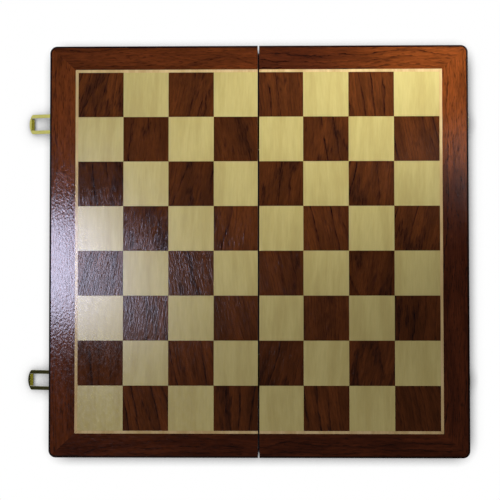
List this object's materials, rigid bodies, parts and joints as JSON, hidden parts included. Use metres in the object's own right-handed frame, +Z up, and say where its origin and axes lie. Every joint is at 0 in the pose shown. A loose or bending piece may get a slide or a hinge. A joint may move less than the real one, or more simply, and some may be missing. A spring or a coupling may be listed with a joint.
{
  "type": "folding chess case",
  "caption": "Folding wooden chess case that opens flat into a chequered playing board, with butt hinges at the fold and brass loop latches.",
  "frame": {"origin": "middle of the fold line, in the plane of the open rims that the board rests on", "axes": "+X across the fold from the half with the loops to the half with the catches, +Y along the fold towards the far end, +Z up, out of the playing surface"},
  "size_m": [0.4027, 0.368, 0.0314],
  "materials": {
    "stained_case_wood": "dark stained wood under gloss lacquer",
    "panel_board": "plain plywood, seen only at its edges",
    "rosewood_square": "rosewood veneer under gloss lacquer",
    "maple_square": "maple veneer under gloss lacquer",
    "rosewood_border": "rosewood veneer under gloss lacquer",
    "boxwood_line": "boxwood stringing under gloss lacquer",
    "green_felt": "short-pile felt",
    "brass_fitting": "stamped brass, lightly tarnished"
  },
  "bodies": {
    "left_half": {"left_outer_wall": "stained_case_wood", "left_far_wall": "stained_case_wood", "left_near_wall": "stained_case_wood", "left_hinge_wall": "stained_case_wood", "left_panel": "panel_board", "left_dark_squares": "rosewood_square", "left_light_squares": "maple_square", "left_side_border": "rosewood_border", "left_far_border": "rosewood_border", "left_near_border": "rosewood_border", "left_stringing": "boxwood_line", "left_felt_lining": "green_felt", "far_hinge_left_leaf": "brass_fitting", "near_hinge_left_leaf": "brass_fitting", "left_hinge_screws": "brass_fitting", "far_hinge_pin": "brass_fitting", "near_hinge_pin": "brass_fitting", "far_latch_plate": "brass_fitting", "far_latch_pin": "brass_fitting", "near_latch_plate": "brass_fitting", "near_latch_pin": "brass_fitting", "latch_screws": "brass_fitting"},
    "right_half": {"right_outer_wall": "stained_case_wood", "right_far_wall": "stained_case_wood", "right_near_wall": "stained_case_wood", "right_hinge_wall": "stained_case_wood", "right_panel": "panel_board", "right_dark_squares": "rosewood_square", "right_light_squares": "maple_square", "right_side_border": "rosewood_border", "right_far_border": "rosewood_border", "right_near_border": "rosewood_border", "right_stringing": "boxwood_line", "right_felt_lining": "green_felt", "far_hinge_right_leaf": "brass_fitting", "near_hinge_right_leaf": "brass_fitting", "right_hinge_screws": "brass_fitting", "far_catch_plate": "brass_fitting", "near_catch_plate": "brass_fitting", "catch_screws": "brass_fitting"},
    "far_loop": {"far_latch_loop": "brass_fitting"},
    "near_loop": {"near_latch_loop": "brass_fitting"}
  },
  "joints": [
    {"name": "fold_hinge", "type": "hinge", "parent": "left_half", "child": "right_half", "pos_m": [0, 0, -0.00015], "axis": [0, 1, 0], "range_deg": [0, 180]},
    {"name": "far_latch_hinge", "type": "hinge", "parent": "left_half", "child": "far_loop", "pos_m": [-0.1895, 0.1175, 0.0065], "axis": [0, 1, 0], "range_deg": [-76, 103]},
    {"name": "near_latch_hinge", "type": "hinge", "parent": "left_half", "child": "near_loop", "pos_m": [-0.1895, -0.1175, 0.0065], "axis": [0, 1, 0], "range_deg": [-76, 103]}
  ]
}
